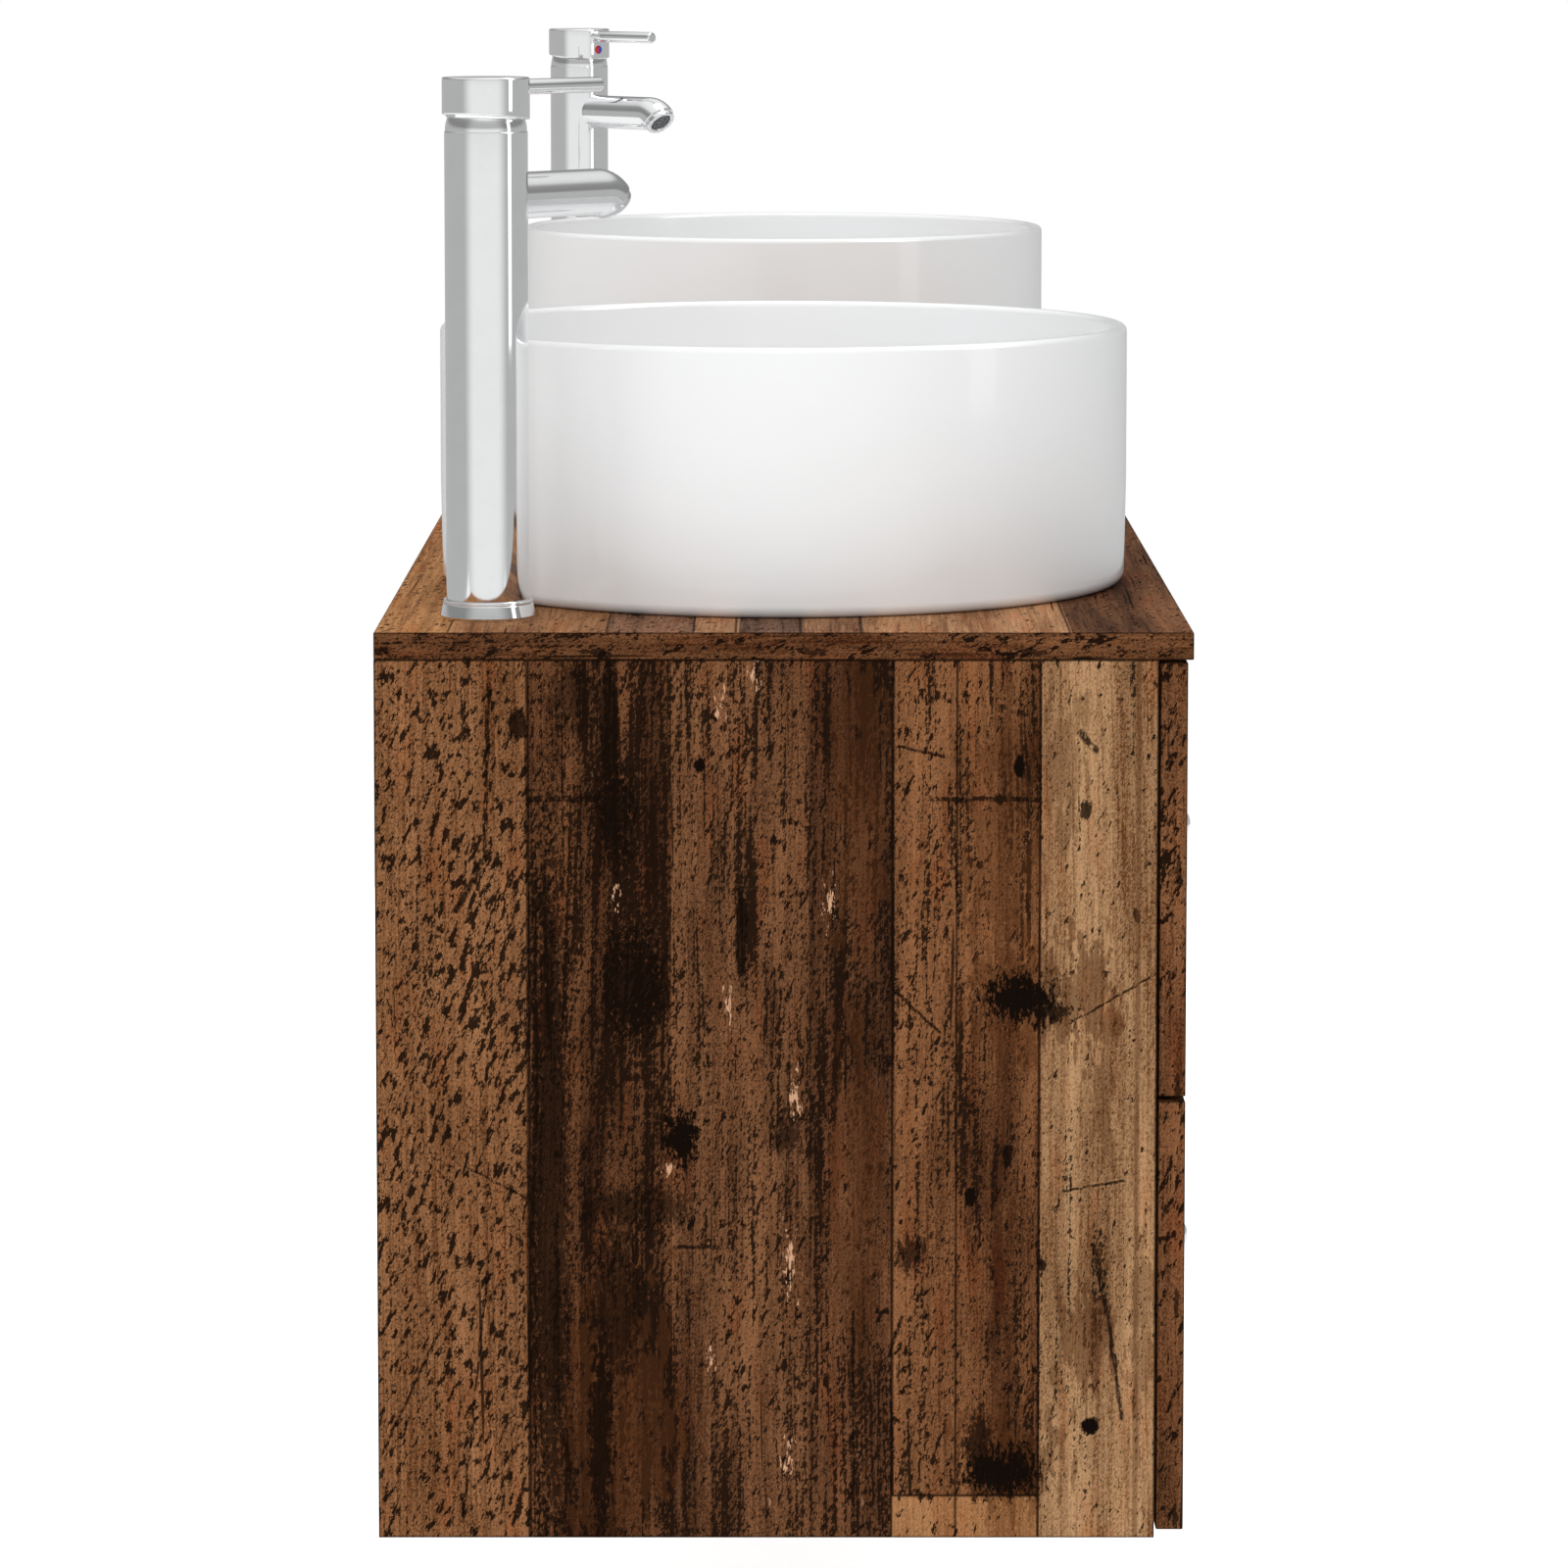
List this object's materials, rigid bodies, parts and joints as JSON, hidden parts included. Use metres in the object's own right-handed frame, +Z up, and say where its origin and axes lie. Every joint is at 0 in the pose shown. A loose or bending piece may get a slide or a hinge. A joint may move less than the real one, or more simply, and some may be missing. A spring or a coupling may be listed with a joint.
{
  "type": "double vessel basin vanity",
  "caption": "Wall-hung bathroom vanity in reclaimed-board decor with round white vessel basins, tall chrome lever mixers and sliding drawers with small round knobs.",
  "frame": {"origin": "centre of the four wall screw holes in the back rails, on the wall plane", "axes": "+X to the right and +Z up for a person facing the drawers; +Y points into the wall"},
  "size_m": [1.6, 0.457, 0.798],
  "materials": {
    "top_board": "printed reclaimed-board decor, matt",
    "end_board": "printed reclaimed-board decor, matt",
    "carcass_board": "printed reclaimed-board decor, matt",
    "front_board": "printed reclaimed-board decor, matt",
    "drawer_board": "printed reclaimed-board decor, matt",
    "knob_metal": "polished",
    "runner_steel": "white enamel",
    "dowel_wood": "plain beech",
    "cam_zinc": "die-cast zinc",
    "ceramic": "white glaze, opaque",
    "waste_chrome": "polished",
    "rubber": "black",
    "brass": "turned",
    "cartridge_plastic": "moulded",
    "stem_steel": "machined",
    "screen_plastic": "fine mesh",
    "heat_mark": "half red, half blue",
    "mixer_chrome": "polished"
  },
  "bodies": {
    "vanity": {"aerator_screens": "screen_plastic", "aerators": "mixer_chrome", "back_rails": "carcass_board", "basin_left": "ceramic", "basin_right": "ceramic", "bottom_panel": "carcass_board", "cam_fittings": "cam_zinc", "carcass_dowels": "dowel_wood", "cartridge_retainers": "brass", "deck_gaskets": "rubber", "deck_nuts": "brass", "divider_panels": "carcass_board", "drawer_runners": "runner_steel", "mixer_base_rings": "mixer_chrome", "mixer_cartridges": "cartridge_plastic", "mixer_column_left": "mixer_chrome", "mixer_column_right": "mixer_chrome", "mixer_domes": "mixer_chrome", "mixer_shanks": "brass", "mixer_spouts": "mixer_chrome", "side_panel_left": "end_board", "side_panel_right": "end_board", "top_panel": "top_board", "waste_bodies": "waste_chrome"},
    "lever_left": {"cartridge_stem_left": "stem_steel", "heat_mark_left": "heat_mark", "lever_cap_left": "mixer_chrome", "lever_rod_left": "mixer_chrome"},
    "lever_right": {"cartridge_stem_right": "stem_steel", "heat_mark_right": "heat_mark", "lever_cap_right": "mixer_chrome", "lever_rod_right": "mixer_chrome"},
    "turret_left": {"cartridge_turret_left": "stem_steel"},
    "turret_right": {"cartridge_turret_right": "stem_steel"},
    "drawer_lower_1": {"drawer_box_lower_1": "drawer_board", "drawer_front_lower_1": "front_board", "drawer_knob_lower_1": "knob_metal"},
    "drawer_lower_2": {"drawer_box_lower_2": "drawer_board", "drawer_front_lower_2": "front_board", "drawer_knob_lower_2": "knob_metal"},
    "drawer_lower_3": {"drawer_box_lower_3": "drawer_board", "drawer_front_lower_3": "front_board", "drawer_knob_lower_3": "knob_metal"},
    "drawer_lower_4": {"drawer_box_lower_4": "drawer_board", "drawer_front_lower_4": "front_board", "drawer_knob_lower_4": "knob_metal"},
    "drawer_upper_1": {"drawer_box_upper_1": "drawer_board", "drawer_front_upper_1": "front_board", "drawer_knob_upper_1": "knob_metal"},
    "drawer_upper_2": {"drawer_box_upper_2": "drawer_board", "drawer_front_upper_2": "front_board", "drawer_knob_upper_2": "knob_metal"},
    "drawer_upper_3": {"drawer_box_upper_3": "drawer_board", "drawer_front_upper_3": "front_board", "drawer_knob_upper_3": "knob_metal"},
    "drawer_upper_4": {"drawer_box_upper_4": "drawer_board", "drawer_front_upper_4": "front_board", "drawer_knob_upper_4": "knob_metal"},
    "plug_left": {"waste_plug_left": "waste_chrome"},
    "plug_right": {"waste_plug_right": "waste_chrome"}
  },
  "joints": [
    {"name": "drawer_slide_upper_1", "type": "slide", "parent": "vanity", "child": "drawer_upper_1", "axis": [0, -1, 0], "range_m": [0, 0.25]},
    {"name": "drawer_slide_upper_2", "type": "slide", "parent": "vanity", "child": "drawer_upper_2", "axis": [0, -1, 0], "range_m": [0, 0.25]},
    {"name": "drawer_slide_upper_3", "type": "slide", "parent": "vanity", "child": "drawer_upper_3", "axis": [0, -1, 0], "range_m": [0, 0.25]},
    {"name": "drawer_slide_upper_4", "type": "slide", "parent": "vanity", "child": "drawer_upper_4", "axis": [0, -1, 0], "range_m": [0, 0.25]},
    {"name": "drawer_slide_lower_1", "type": "slide", "parent": "vanity", "child": "drawer_lower_1", "axis": [0, -1, 0], "range_m": [0, 0.25]},
    {"name": "drawer_slide_lower_2", "type": "slide", "parent": "vanity", "child": "drawer_lower_2", "axis": [0, -1, 0], "range_m": [0, 0.25]},
    {"name": "drawer_slide_lower_3", "type": "slide", "parent": "vanity", "child": "drawer_lower_3", "axis": [0, -1, 0], "range_m": [0, 0.25]},
    {"name": "drawer_slide_lower_4", "type": "slide", "parent": "vanity", "child": "drawer_lower_4", "axis": [0, -1, 0], "range_m": [0, 0.25]},
    {"name": "lever_swivel_left", "type": "hinge", "parent": "vanity", "child": "turret_left", "pos_m": [-0.7277, -0.0585, 0.5183], "axis": [0, 0, 1], "range_deg": [-45, 45]},
    {"name": "lever_lift_left", "type": "hinge", "parent": "turret_left", "child": "lever_left", "pos_m": [-0.7277, -0.0585, 0.5183], "axis": [-0.6616, -0.7498, 0], "range_deg": [0, 20]},
    {"name": "plug_lift_left", "type": "slide", "parent": "vanity", "child": "plug_left", "axis": [0, 0, 1], "range_m": [0, 0.008]},
    {"name": "lever_swivel_right", "type": "hinge", "parent": "vanity", "child": "turret_right", "pos_m": [0.7277, -0.0585, 0.5183], "axis": [0, 0, 1], "range_deg": [-45, 45]},
    {"name": "lever_lift_right", "type": "hinge", "parent": "turret_right", "child": "lever_right", "pos_m": [0.7277, -0.0585, 0.5183], "axis": [-0.6616, 0.7498, 0], "range_deg": [0, 20]},
    {"name": "plug_lift_right", "type": "slide", "parent": "vanity", "child": "plug_right", "axis": [0, 0, 1], "range_m": [0, 0.008]}
  ]
}
